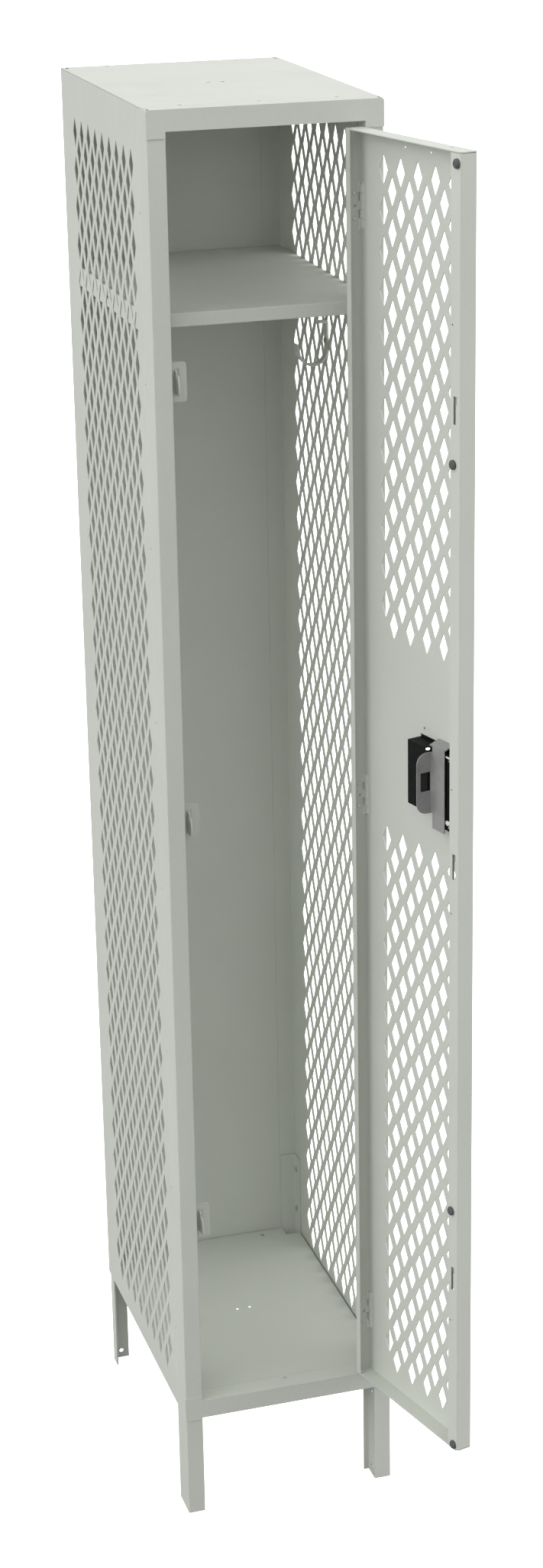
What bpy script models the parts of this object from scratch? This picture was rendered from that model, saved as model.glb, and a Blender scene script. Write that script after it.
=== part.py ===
"""Single-tier ventilated sheet-steel locker, one wide, on legs, with its door standing open.

Built in the cabinet's own frame: x across the front from its middle, y back from the face of the
uprights, z up from the floor. The last step moves the whole assembly so that the origin is on the floor,
in the middle of the box that holds the cabinet and its open door. All lengths are in metres.
"""

import math

import bmesh
import bpy
from mathutils import Matrix, Vector

for existing in list(bpy.data.objects):
    bpy.data.objects.remove(existing, do_unlink=True)

# Driving dimensions
WIDTH = 0.3048
DEPTH = 0.4572
HEIGHT = 1.9812
LEG_HEIGHT = 0.1524
GAP = 0.0003  # between pieces that touch
FRAME_SHEET = 0.0015
CROSS_SHEET = 0.0012
PANEL_SHEET = 0.0009
DOOR_SHEET = 0.0012
BEND_RADIUS = 0.0008

# Front frame
HEADER_OVERHANG = 0.0005  # the header and the sill stand this much wider than each upright
UPRIGHT_FACE = 0.0242
UPRIGHT_SIDE = 0.0462
JAMB_DEPTH = 0.0299
STRIKE_LIP = 0.0072
JAMB_X = WIDTH / 2 - UPRIGHT_FACE  # half the clear opening
OPENING_TOP = 1.9543
OPENING_BOTTOM = 0.1804
CROSS_FLANGE_END = JAMB_DEPTH - FRAME_SHEET - GAP
SILL_BOTTOM = 0.1534
TAB_DROP = 0.0083  # how far the header's end tabs hang below its middle
TAB_RISE = 0.0069  # how far the sill's end tabs stand above its middle
TAB_FOOT = 0.0025  # and below it

# Body
PANEL_OUTER = WIDTH / 2
JOGGLE_INSET = PANEL_OUTER - FRAME_SHEET - GAP
BACK_Y = DEPTH - PANEL_SHEET
REAR_FLANGE = 0.0262
SHELF_TOP = 1.7235
SHELF_LIP = 0.0176
SHELF_EAR = 0.0260  # depth of the shelf's side flanges, which lie against the side panels
SHELF_FRONT_Y = 0.0340
TRAY_FLANGE = 0.0180

# Rear legs
LEG_SHEET = 0.0020
LEG_BEND = 0.0022  # radius of the sheet's middle, so more than half its thickness
LEG_WIDTH = 0.0243
LEG_DEPTH = 0.0236
LEG_TOP = 0.3065
LEG_BOLT_HEIGHTS = (0.2170, 0.2850)
LEG_BOLT_INSET = 0.0125
SEAM_RIVET_BACK = 0.0434  # holes in the uprights' sides where the side panels are fastened
SEAM_RIVET_HEIGHTS = (1.850, 1.634, 1.419, 1.182, 0.948, 0.708, 0.500, 0.279)

# Door, measured in its closed place
DOOR_LOCK_X = -JAMB_X + 0.0014
DOOR_HINGE_X = JAMB_X - 0.0018
DOOR_BOTTOM = 0.1852
DOOR_TOP = 1.9471
DOOR_DEPTH = 0.0236
RETURN_WIDTH = 0.0205
HINGE_LIP = 0.0104
LID_GAP = 0.0009  # between the lock-side channel's cut ends and the end flanges over them
OPEN_ANGLE = math.radians(104.56)
AXIS = Vector((WIDTH / 2 - 0.0286, 0.0007, 0.0))

# Perforation: staggered diamonds
DIAMOND_WIDTH = 0.01905
DIAMOND_HEIGHT = 0.0381
COLUMN_PITCH = 0.0381
ROW_PITCH = 0.0254
UPPER_FIRST_ROW = 1.9010
UPPER_ROWS = 24
LOWER_FIRST_ROW = 1.0163
LOWER_ROWS = 32
WIDE_ROW_COLUMNS = 5
PERFORATION_X = -0.0020

# Hinges
HINGE_HEIGHTS = {"upper": 1.8500, "middle": 1.0645, "lower": 0.2805}
HINGE_LENGTH = 0.0545
KNUCKLES = 5
KNUCKLE_RADIUS = 0.0033
PIN_RADIUS = 0.0014
PIN_BORE = 0.00175
LEAF_SHEET = 0.0005
LEAF_GAP = 0.00025
LEAF_START = {"frame": 0.0030, "door": 0.0045}
LEAF_END = 0.0200
NOTCH_MARGIN = 0.0008

# Latch
STRIKE_HEIGHTS = {"upper": 1.6360, "middle": 1.0420, "lower": 0.4482}
HOOK_SHEET = 0.0018
HOOK_HALF_HEIGHT = 0.0258
TONGUE_HALF = 0.00125
SLOT_HALF_WIDTH = 0.0036
SLOT_HALF_HEIGHT = 0.0174
LIFT_TRAVEL = 0.0120
BAR_BACK = 0.0200  # front and rear faces of the latch bar
BAR_FRONT = 0.0216
BAR_X = (-WIDTH / 2 + 0.0295, -WIDTH / 2 + 0.0440)
GUIDE_LOCK_X = DOOR_LOCK_X + DOOR_SHEET + 0.0014  # clear of the bend's inner radius
GUIDE_HINGE_X = -WIDTH / 2 + 0.0465
GUIDE_HEIGHTS = {"top": 1.7404, "high": 1.1456, "low": 0.9762, "bottom": 0.3830}
BUMPER_RADIUS = 0.0061
BUMPER_HEIGHT = JAMB_DEPTH - FRAME_SHEET - GAP - DOOR_DEPTH - GAP


def across(distance):
    """x of a point so far from the cabinet's left side."""
    return distance - WIDTH / 2


TONGUE_X = across(0.0361)
BUMPERS = {
    "top": (across(0.0325), 1.9332),
    "high": (across(0.0392), 1.5685),
    "low": (across(0.0392), 0.5495),
    "bottom": (across(0.0325), 0.1938),
}


def material(name, color, roughness, metallic=0.0):
    made = bpy.data.materials.new(name)
    made.use_nodes = True
    shader = made.node_tree.nodes["Principled BSDF"]
    shader.inputs["Base Color"].default_value = (*color, 1.0)
    shader.inputs["Roughness"].default_value = roughness
    shader.inputs["Metallic"].default_value = metallic
    return made


PAINT = material("grey_paint", (0.56, 0.58, 0.53), 0.45)
STEEL = material("zinc_steel", (0.33, 0.33, 0.33), 0.40, 0.8)
BLACK = material("black_plastic", (0.012, 0.013, 0.013), 0.50)
RUBBER = material("dark_rubber", (0.035, 0.035, 0.037), 0.75)
NYLON = material("white_nylon", (0.75, 0.74, 0.70), 0.55)


# Mesh helpers
PLANES = {
    "xy": lambda a, b, c: (a, b, c),
    "xz": lambda a, b, c: (a, c, b),
    "yz": lambda a, b, c: (c, a, b),
}


def new_object(name, mesh_builder, finish, smooth=False):
    mesh = bpy.data.meshes.new(name)
    bmesh.ops.recalc_face_normals(mesh_builder, faces=mesh_builder.faces)
    mesh_builder.to_mesh(mesh)
    mesh_builder.free()
    mesh.materials.append(finish)
    if smooth:
        mesh.shade_smooth()
        mesh.set_sharp_from_angle(angle=math.radians(35))
    made = bpy.data.objects.new(name, mesh)
    bpy.context.collection.objects.link(made)
    return made


def prism(name, outline, plane, low, high, finish, smooth=False):
    """Extrudes a closed outline, drawn in a plane, along the plane's normal from low to high."""
    place = PLANES[plane]
    shape = bmesh.new()
    start = [shape.verts.new(place(a, b, low)) for a, b in outline]
    end = [shape.verts.new(place(a, b, high)) for a, b in outline]
    shape.faces.new(start)
    shape.faces.new(reversed(end))
    for i in range(len(outline)):
        j = (i + 1) % len(outline)
        shape.faces.new((start[i], end[i], end[j], start[j]))
    return new_object(name, shape, finish, smooth)


def box(name, low, high, finish):
    outline = [(low[0], low[1]), (high[0], low[1]), (high[0], high[1]), (low[0], high[1])]
    return prism(name, outline, "xy", low[2], high[2], finish)


def circle(centre_a, centre_b, radius, sides):
    turn = 2 * math.pi / sides
    return [
        (centre_a + radius * math.cos(i * turn), centre_b + radius * math.sin(i * turn))
        for i in range(sides)
    ]


def rounded(points, radius, steps=3):
    """Replaces each inner corner of a polyline by an arc."""
    path = [Vector(points[0])]
    for i in range(1, len(points) - 1):
        corner = Vector(points[i])
        to_last = (Vector(points[i - 1]) - corner).normalized()
        to_next = (Vector(points[i + 1]) - corner).normalized()
        half = to_last.angle(to_next) / 2
        reach = radius / math.tan(half)
        centre = corner + (to_last + to_next).normalized() * (radius / math.sin(half))
        start = corner + to_last * reach - centre
        sweep = start.angle_signed(corner + to_next * reach - centre)
        for step in range(steps + 1):
            path.append(centre + Matrix.Rotation(-sweep * step / steps, 2) @ start)
    path.append(Vector(points[-1]))
    return path


def ribbon(points, thickness):
    """Outline of a sheet of even thickness whose middle follows a polyline."""
    points = [Vector(p) for p in points]
    ahead = [(b - a).normalized() for a, b in zip(points, points[1:])]
    sides = ([], [])
    for i, point in enumerate(points):
        before, after = ahead[max(i - 1, 0)], ahead[min(i, len(ahead) - 1)]
        middle = (before + after).normalized()
        reach = thickness / 2 / middle.dot(after)
        normal = Vector((-middle.y, middle.x)) * reach
        sides[0].append(tuple(point + normal))
        sides[1].append(tuple(point - normal))
    return sides[0] + sides[1][::-1]


def sheet(name, points, thickness, plane, low, high, finish, radius=BEND_RADIUS):
    return prism(name, ribbon(rounded(points, radius), thickness), plane, low, high, finish)


def combine(target, tool, operation):
    """Adds a Boolean whose second piece is only a guide."""
    tool.hide_render = True
    tool.display_type = "WIRE"
    step = target.modifiers.new(tool.name, "BOOLEAN")
    step.operation = operation
    step.object = tool
    return target


def join(target, *tools):
    for tool in tools:
        combine(target, tool, "UNION")
    return target


def cut(target, *tools):
    for tool in tools:
        combine(target, tool, "DIFFERENCE")
    return target


def hole(name, plane, centre, radius, low, high, sides=16):
    return prism(name, circle(*centre, radius, sides), plane, low, high, STEEL)


def corner_cutter(name, plane, corner, inward, radius, low, high):
    """Cuts a sheet's square corner to a radius; inward gives the signs of the two directions into the sheet."""
    centre = (corner[0] + inward[0] * radius, corner[1] + inward[1] * radius)
    outline = [(corner[0] - inward[0] * 0.001, corner[1] - inward[1] * 0.001)]
    outline.append((centre[0], corner[1] - inward[1] * 0.001))
    for step in range(6):
        turn = math.pi / 2 * step / 5
        outline.append(
            (centre[0] - inward[0] * radius * math.sin(turn), centre[1] - inward[1] * radius * math.cos(turn))
        )
    outline.append((corner[0] - inward[0] * 0.001, centre[1]))
    return prism(name, outline, plane, low, high, PAINT)


def mirrored(points, side):
    """Points of a plan drawn for the right-hand side (side 1) or the left-hand one (side -1)."""
    return [(side * x, y) for x, y in points]


# Front frame
def upright(name, side):
    half = FRAME_SHEET / 2
    outer = WIDTH / 2 - half
    jamb = JAMB_X + half
    plan = [
        (outer, UPRIGHT_SIDE),
        (outer, half),
        (jamb, half),
        (jamb, JAMB_DEPTH - half),
        (JAMB_X - STRIKE_LIP, JAMB_DEPTH - half),
    ]
    made = sheet(name, mirrored(plan, side), FRAME_SHEET, "xy", 0.0, HEIGHT, PAINT)
    inner = WIDTH / 2 - FRAME_SHEET - 0.0002
    ends = sorted((side * inner, side * (JAMB_X - 0.05)))
    under_header = HEIGHT - CROSS_SHEET - GAP
    cut(made, box(f"{name}_top", (ends[0], -0.01, under_header), (ends[1], 0.06, HEIGHT + 0.01), PAINT))
    low_corner = (-WIDTH, CROSS_FLANGE_END, HEIGHT - PANEL_SHEET - GAP)
    cut(made, box(f"{name}_rear_top", low_corner, (WIDTH, 0.06, HEIGHT + 0.01), PAINT))
    low, high = sorted((side * (JAMB_X - 0.002), side * (JAMB_X + 0.004)))
    for i, height in enumerate((0.0135, 0.1380)):
        cut(made, hole(f"{name}_leg_hole_{i}", "yz", (0.013, height), 0.0035, low, high))
    low, high = sorted((side * (WIDTH / 2 - 0.004), side * (WIDTH / 2 + 0.001)))
    for i, height in enumerate(SEAM_RIVET_HEIGHTS):
        cut(made, hole(f"{name}_seam_hole_{i}", "yz", (SEAM_RIVET_BACK, height), 0.0016, low, high, 10))
    low, high = sorted((side * inner, side * (WIDTH / 2 + 0.001)))
    return cut(made, corner_cutter(f"{name}_corner", "yz", (0.0, HEIGHT), (1, -1), 0.0040, low, high))


def cross_member(name, middle_low, middle_high, tab_low, tab_high, flange_z):
    """The header or the sill: a face with end tabs over the uprights, and one flange to the back."""
    half_width = WIDTH / 2 + HEADER_OVERHANG
    face = box(
        name,
        (-half_width, -GAP - CROSS_SHEET, middle_low),
        (half_width, -GAP, middle_high),
        PAINT,
    )
    for side in (-1, 1):
        low, high = sorted((side * (JAMB_X + 0.0004), side * half_width))
        tab = box(f"{name}_tab_{side}", (low, -GAP - CROSS_SHEET, tab_low), (high, -GAP, tab_high), PAINT)
        join(face, tab)
    flange_half = JAMB_X - GAP
    flange = box(
        f"{name}_flange",
        (-flange_half, -GAP - CROSS_SHEET, flange_z),
        (flange_half, CROSS_FLANGE_END, flange_z + CROSS_SHEET),
        PAINT,
    )
    join(face, flange)
    return face


def header():
    """The top flange stops short of the uprights' outer sides, which leaves a slit at each end."""
    top_sheet = HEIGHT - CROSS_SHEET
    made = cross_member(
        "header", OPENING_TOP, HEIGHT, OPENING_TOP - TAB_DROP, HEIGHT - GAP, top_sheet
    )
    lap_half = WIDTH / 2 - FRAME_SHEET - 0.0007
    lap = box(
        "header_lap",
        (-lap_half, -GAP - CROSS_SHEET, top_sheet),
        (lap_half, CROSS_FLANGE_END, HEIGHT),
        PAINT,
    )
    join(made, lap)
    for side in (-1, 1):
        outline = [
            (side * (lap_half + 0.001), 0.0004),
            (side * (lap_half - 0.0032), 0.0004),
            (side * (lap_half - 0.0028), 0.0110),
            (side * lap_half, 0.0150),
            (side * (lap_half + 0.001), 0.0150),
        ]
        cut(made, prism(f"header_slit_{side}", outline, "xy", top_sheet - 0.001, HEIGHT + 0.001, PAINT))
        corner = (side * (WIDTH / 2 + HEADER_OVERHANG), HEIGHT)
        cut(made, corner_cutter(f"header_corner_{side}", "xz", corner, (-side, -1), 0.0035, -0.003, -0.0002))
    return made


def sill():
    made = cross_member(
        "sill",
        SILL_BOTTOM,
        OPENING_BOTTOM,
        SILL_BOTTOM - TAB_FOOT,
        OPENING_BOTTOM + TAB_RISE,
        OPENING_BOTTOM - CROSS_SHEET,
    )
    peg_hole = hole("sill_hole", "xy", (across(0.1529), 0.0219), 0.0028, 0.17, 0.19)
    return cut(made, peg_hole)


# Body
def side_panel(name, side):
    half = PANEL_SHEET / 2
    outer = PANEL_OUTER - half
    inner = JOGGLE_INSET - half
    plan = [
        (inner, 0.0240),
        (inner, UPRIGHT_SIDE + 0.0008),
        (outer, UPRIGHT_SIDE + 0.0046),
        (outer, BACK_Y - GAP - half),
        (outer - REAR_FLANGE, BACK_Y - GAP - half),
    ]
    top = HEIGHT - PANEL_SHEET - GAP
    return sheet(name, mirrored(plan, side), PANEL_SHEET, "xy", LEG_HEIGHT, top, PAINT, BEND_RADIUS)


def back_panel():
    low = (-PANEL_OUTER, BACK_Y, LEG_HEIGHT)
    high = (PANEL_OUTER, DEPTH, HEIGHT - PANEL_SHEET - GAP)
    return box("back_panel", low, high, PAINT)


def tray(name, front, back, half_width, surface, flange_half, flange_front, flange_back):
    """A flat panel with edges turned down at both sides and at the back."""
    plate = box(name, (-half_width, front, surface - PANEL_SHEET), (half_width, back, surface), PAINT)
    low = surface - TRAY_FLANGE
    for side in (-1, 1):
        ends = sorted((side * flange_half, side * (flange_half - PANEL_SHEET)))
        join(
            plate,
            box(
                f"{name}_side_{side}",
                (ends[0], flange_front, low),
                (ends[1], flange_back, surface - PANEL_SHEET / 2),
                PAINT,
            ),
        )
    join(
        plate,
        box(
            f"{name}_rear",
            (-flange_half + LEG_WIDTH + 0.003, flange_back - PANEL_SHEET, low),
            (flange_half - LEG_WIDTH - 0.003, flange_back, surface - PANEL_SHEET / 2),
            PAINT,
        ),
    )
    return plate


INNER_HALF = PANEL_OUTER - PANEL_SHEET - GAP  # clear of the side panels' walls
INNER_BACK = BACK_Y - GAP - PANEL_SHEET - GAP  # clear of their rear flanges


def top_panel():
    made = tray(
        "top_panel",
        CROSS_FLANGE_END + GAP,
        DEPTH,
        PANEL_OUTER,
        HEIGHT,
        INNER_HALF,
        UPRIGHT_SIDE + 0.010,
        INNER_BACK,
    )
    for side in (-1, 1):
        centre = (side * 0.0095, DEPTH / 2)
        cut(made, hole(f"top_hole_{side}", "xy", centre, 0.0032, HEIGHT - 0.01, HEIGHT + 0.01, 12))
        corner = sorted((side * (WIDTH / 2 - 0.0045), side * (WIDTH / 2 - 0.0085)))
        slot_low = (corner[0], DEPTH - 0.0180, HEIGHT - 0.01)
        cut(made, box(f"top_corner_slot_{side}", slot_low, (corner[1], DEPTH - 0.0040, HEIGHT + 0.01), PAINT))
    seam_spots = [(x, CROSS_FLANGE_END + 0.0022) for x in (-0.101, 0.0, 0.101)]
    seam_spots += [(x, DEPTH - 0.0080) for x in (-0.090, 0.090)]
    for i, centre in enumerate(seam_spots):
        cut(made, hole(f"top_seam_hole_{i}", "xy", centre, 0.0028, HEIGHT - 0.01, HEIGHT + 0.01, 12))
    return made


def bottom_panel():
    made = tray(
        "bottom_panel",
        JAMB_DEPTH + GAP,
        INNER_BACK,
        JOGGLE_INSET - PANEL_SHEET - GAP,
        OPENING_BOTTOM,
        JOGGLE_INSET - PANEL_SHEET - GAP,
        UPRIGHT_SIDE + 0.010,
        INNER_BACK,
    )
    lip_half = JAMB_X - STRIKE_LIP - 0.0006
    lip_top = OPENING_BOTTOM - CROSS_SHEET - GAP
    riser = JAMB_DEPTH + GAP + PANEL_SHEET
    for part, low, high in (
        ("nose", (CROSS_FLANGE_END + GAP, OPENING_BOTTOM - PANEL_SHEET), (riser, OPENING_BOTTOM)),
        ("riser", (JAMB_DEPTH + GAP, lip_top - PANEL_SHEET), (riser, OPENING_BOTTOM)),
        ("lip", (0.0185, lip_top - PANEL_SHEET), (riser, lip_top)),
    ):
        piece = box(f"bottom_{part}", (-lip_half, *low), (lip_half, *high), PAINT)
        join(made, piece)
    floor = (OPENING_BOTTOM - 0.03, OPENING_BOTTOM + 0.01)
    for side in (-1, 1):
        for where, centre, radius in (
            ("middle", (side * 0.0095, 0.2330), 0.0022),
            ("rear", (side * 0.0914, 0.4413), 0.0035),
        ):
            cut(made, hole(f"bottom_hole_{where}_{side}", "xy", centre, radius, *floor, 12))
        notch_inner = INNER_HALF - LEG_WIDTH - GAP
        ends = sorted((side * notch_inner, side * (WIDTH / 2)))
        notch_front = INNER_BACK - LEG_DEPTH - GAP
        notch = box(
            f"bottom_notch_{side}", (ends[0], notch_front, floor[0]), (ends[1], DEPTH, floor[1]), PAINT
        )
        cut(made, notch)
    return made


def hat_shelf():
    half = PANEL_SHEET / 2
    profile = [
        (SHELF_FRONT_Y + 0.009, SHELF_TOP - SHELF_LIP + half),
        (SHELF_FRONT_Y + half, SHELF_TOP - SHELF_LIP + half),
        (SHELF_FRONT_Y + half, SHELF_TOP - half),
        (INNER_BACK - half, SHELF_TOP - half),
        (INNER_BACK - half, SHELF_TOP - SHELF_LIP),
    ]
    reach = JOGGLE_INSET - PANEL_SHEET - GAP
    made = sheet("hat_shelf", profile, PANEL_SHEET, "yz", -reach, reach, PAINT, 0.0008)
    for side in (-1, 1):
        wing = sorted((side * INNER_HALF, side * (reach - 0.001)))
        ends = sorted((side * INNER_HALF, side * (INNER_HALF - PANEL_SHEET)))
        join(
            made,
            box(f"shelf_wing_{side}", (wing[0], 0.0560, SHELF_TOP - PANEL_SHEET), (wing[1], 0.4300, SHELF_TOP), PAINT),
            box(f"shelf_ear_{side}", (ends[0], 0.0560, SHELF_TOP - SHELF_EAR), (ends[1], 0.4300, SHELF_TOP), PAINT),
        )
        low, high = sorted((side * (INNER_HALF + 0.001), side * (INNER_HALF - 0.003)))
        slot_low, slot_high = (low, 0.2345, SHELF_TOP - 0.0155), (high, 0.2435, SHELF_TOP - 0.0110)
        cut(made, box(f"shelf_ear_slot_{side}", slot_low, slot_high, PAINT))
    return made


def bolt(name, head_centre, direction, head_radius=0.0045, head_height=0.0025):
    """A round-headed bolt whose head ends at head_centre; direction is +1 or -1 along x."""
    x, y, z = head_centre
    rings = [(0.0, 1.0), (0.45, 0.93), (0.80, 0.70), (1.0, 0.35)]
    shape = bmesh.new()
    sides = 12
    loops = []
    for share, width in rings:
        ring = circle(y, z, head_radius * width, sides)
        along = x + direction * head_height * share
        loops.append([shape.verts.new((along, a, b)) for a, b in ring])
    shape.faces.new(loops[0])
    shape.faces.new(loops[-1])
    for low, high in zip(loops, loops[1:]):
        for i in range(sides):
            j = (i + 1) % sides
            shape.faces.new((low[i], low[j], high[j], high[i]))
    return new_object(name, shape, STEEL, smooth=True)


def rear_leg(name, side):
    half = LEG_SHEET / 2
    corner_x = INNER_HALF - half
    corner_y = INNER_BACK - half
    plan = [
        (corner_x, INNER_BACK - LEG_DEPTH),
        (corner_x, corner_y),
        (INNER_HALF - LEG_WIDTH, corner_y),
    ]
    made = sheet(name, mirrored(plan, side), LEG_SHEET, "xy", 0.0, LEG_TOP, PAINT, LEG_BEND)
    centre = (side * (INNER_HALF - LEG_BOLT_INSET), 0.0115)
    cut(made, hole(f"{name}_foot_hole", "xz", centre, 0.0033, DEPTH - 0.02, DEPTH + 0.01))
    return made


def leg_bolts(name, side):
    x = side * (INNER_HALF - LEG_SHEET - GAP)
    for where, height in zip(("low", "high"), LEG_BOLT_HEIGHTS):
        bolt(f"{name}_{where}", (x, INNER_BACK - LEG_BOLT_INSET, height), -side)


def shelf_bolts():
    reach = INNER_HALF - PANEL_SHEET - GAP
    for side, hand in ((-1, "left"), (1, "right")):
        for where, y in (("front", 0.090), ("rear", 0.400)):
            bolt(f"shelf_bolt_{hand}_{where}", (side * reach, y, SHELF_TOP - 0.0105), -side, 0.004, 0.002)


# Coat hook on the right-hand wall
def coat_hook():
    wall = INNER_HALF
    strap = 0.0024
    half_width = 0.0065
    middle_y = 0.2410
    radius = 0.0200
    middle_z = 1.6180
    face = wall - strap / 2
    centre_x = face - radius
    bend = [
        (centre_x + radius * math.cos(a), middle_z + radius * math.sin(a))
        for a in (-math.pi * step / 12 for step in range(12))
    ]
    path = [(face - 0.0130, 1.6560), (face, 1.6560), *bend, (centre_x - radius - 0.0022, middle_z + 0.0095)]
    made = prism(
        "coat_hook",
        ribbon(path, strap),
        "xz",
        middle_y - half_width,
        middle_y + half_width,
        PAINT,
    )
    bolt("coat_hook_bolt", (wall - strap - GAP, middle_y, 1.6300), -1, 0.0042, 0.0022)
    return made


# Strike hooks
def strike_hook(name, middle):
    front = JAMB_DEPTH + GAP
    low_x, high_x = across(0.0160), across(0.0505)
    bottom, top = middle - HOOK_HALF_HEIGHT + 0.0012, middle + HOOK_HALF_HEIGHT + 0.0012
    corner = 0.0050
    arc = [math.pi / 2 * step / 4 for step in range(5)]
    right_top = [(high_x - corner + corner * math.sin(a), top - corner + corner * math.cos(a)) for a in arc]
    right_low = [(high_x - corner + corner * math.cos(a), bottom + corner - corner * math.sin(a)) for a in arc]
    plate = prism(
        name, [(low_x, bottom), (low_x, top), *right_top, *right_low], "xz", front, front + HOOK_SHEET, PAINT
    )
    root = front + HOOK_SHEET / 2
    side_view = [
        (root, -0.0140),
        (0.0160, -0.0140),
        (0.0128, -0.0115),
        (0.0118, -0.0070),
        (0.0122, -0.0010),
        (0.0142, 0.0060),
        (0.0168, 0.0110),
        (0.0189, 0.0118),
        (0.0189, 0.0060),
        (0.0228, 0.0060),
        (0.0228, 0.0148),
        (0.0260, 0.0165),
        (root, 0.0170),
    ]
    tongue = prism(
        f"{name}_tongue",
        [(y, middle + z) for y, z in side_view],
        "yz",
        TONGUE_X - TONGUE_HALF,
        TONGUE_X + TONGUE_HALF,
        PAINT,
    )
    window = box(
        f"{name}_window",
        (TONGUE_X + TONGUE_HALF, front - 0.002, middle - 0.0140),
        (TONGUE_X + 0.0047, front + 0.004, middle + 0.0188),
        PAINT,
    )
    join(plate, tongue)
    return cut(plate, window)


# Hinges: the barrel stands in a notch of the door's edge, and each leaf lies in the gap beside it
def knuckle(name, low, high, strap_x, strap_y):
    """One ring of the barrel with the strap that joins it to its leaf."""
    ring = prism(name, circle(AXIS.x, AXIS.y, KNUCKLE_RADIUS, 20), "xy", low, high, PAINT, smooth=True)
    strap = box(f"{name}_strap", (strap_x[0], strap_y[0], low), (strap_x[1], strap_y[1], high), PAINT)
    return join(ring, strap)


def hinge(where, middle):
    low = middle - HINGE_LENGTH / 2
    pitch = HINGE_LENGTH / KNUCKLES
    frame_x = (JAMB_X - LEAF_GAP - LEAF_SHEET, JAMB_X - LEAF_GAP)
    door_x = (DOOR_HINGE_X + LEAF_GAP, DOOR_HINGE_X + LEAF_GAP + LEAF_SHEET)
    leaves = {}
    for owner, (start, end) in (("frame", frame_x), ("door", door_x)):
        leaves[owner] = box(
            f"{where}_hinge_{owner}_leaf",
            (start, LEAF_START[owner], low),
            (end, LEAF_END, low + HINGE_LENGTH),
            PAINT,
        )
    for i in range(KNUCKLES):
        owner = "frame" if i % 2 == 0 else "door"
        plate_x = frame_x if owner == "frame" else door_x
        ends = (low + i * pitch + GAP / 2, low + (i + 1) * pitch - GAP / 2)
        strap_x = (AXIS.x + PIN_BORE + 0.0008, plate_x[1])
        strap_y = (AXIS.y, LEAF_START[owner] + 0.0006)
        ring = knuckle(f"{where}_knuckle_{i}", *ends, strap_x, strap_y)
        join(leaves[owner], ring)
    bore = hole(f"{where}_bore", "xy", (AXIS.x, AXIS.y), PIN_BORE, low - 0.01, low + HINGE_LENGTH + 0.01, 20)
    for leaf in leaves.values():
        cut(leaf, bore)
    shaft = prism(
        f"{where}_hinge_pin",
        circle(AXIS.x, AXIS.y, PIN_RADIUS, 20),
        "xy",
        low,
        low + HINGE_LENGTH,
        PAINT,
        smooth=True,
    )
    head = prism(
        f"{where}_pin_head",
        circle(AXIS.x, AXIS.y, KNUCKLE_RADIUS, 20),
        "xy",
        low + HINGE_LENGTH - 0.0001 + GAP,
        low + HINGE_LENGTH + 0.0012,
        PAINT,
    )
    shaft_top = prism(
        f"{where}_pin_neck",
        circle(AXIS.x, AXIS.y, PIN_RADIUS * 0.98, 20),
        "xy",
        low + HINGE_LENGTH / 2,
        low + HINGE_LENGTH + 0.0010,
        PAINT,
    )
    join(shaft, shaft_top, head)
    return leaves["frame"], leaves["door"], shaft, ring, bore


# Door
def diamond_cutters(first_row, rows):
    """One prism for each diamond; even rows have a column fewer and are staggered by half a pitch."""
    shapes = []
    for row in range(rows):
        z = first_row - row * ROW_PITCH
        columns = WIDE_ROW_COLUMNS - row % 2
        for column in range(columns):
            x = PERFORATION_X + (column - (columns - 1) / 2) * COLUMN_PITCH
            shapes.append((x, z))
    return shapes


def perforation_cutter():
    shape = bmesh.new()
    front, back = -0.004, 0.006
    centres = diamond_cutters(UPPER_FIRST_ROW, UPPER_ROWS) + diamond_cutters(LOWER_FIRST_ROW, LOWER_ROWS)
    for x, z in centres:
        tips = (
            (x, z + DIAMOND_HEIGHT / 2),
            (x + DIAMOND_WIDTH / 2, z),
            (x, z - DIAMOND_HEIGHT / 2),
            (x - DIAMOND_WIDTH / 2, z),
        )
        near = [shape.verts.new((a, front, b)) for a, b in tips]
        far = [shape.verts.new((a, back, b)) for a, b in tips]
        shape.faces.new(near)
        shape.faces.new(reversed(far))
        for i in range(4):
            j = (i + 1) % 4
            shape.faces.new((near[i], far[i], far[j], near[j]))
    return new_object("door_perforation", shape, STEEL)


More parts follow.
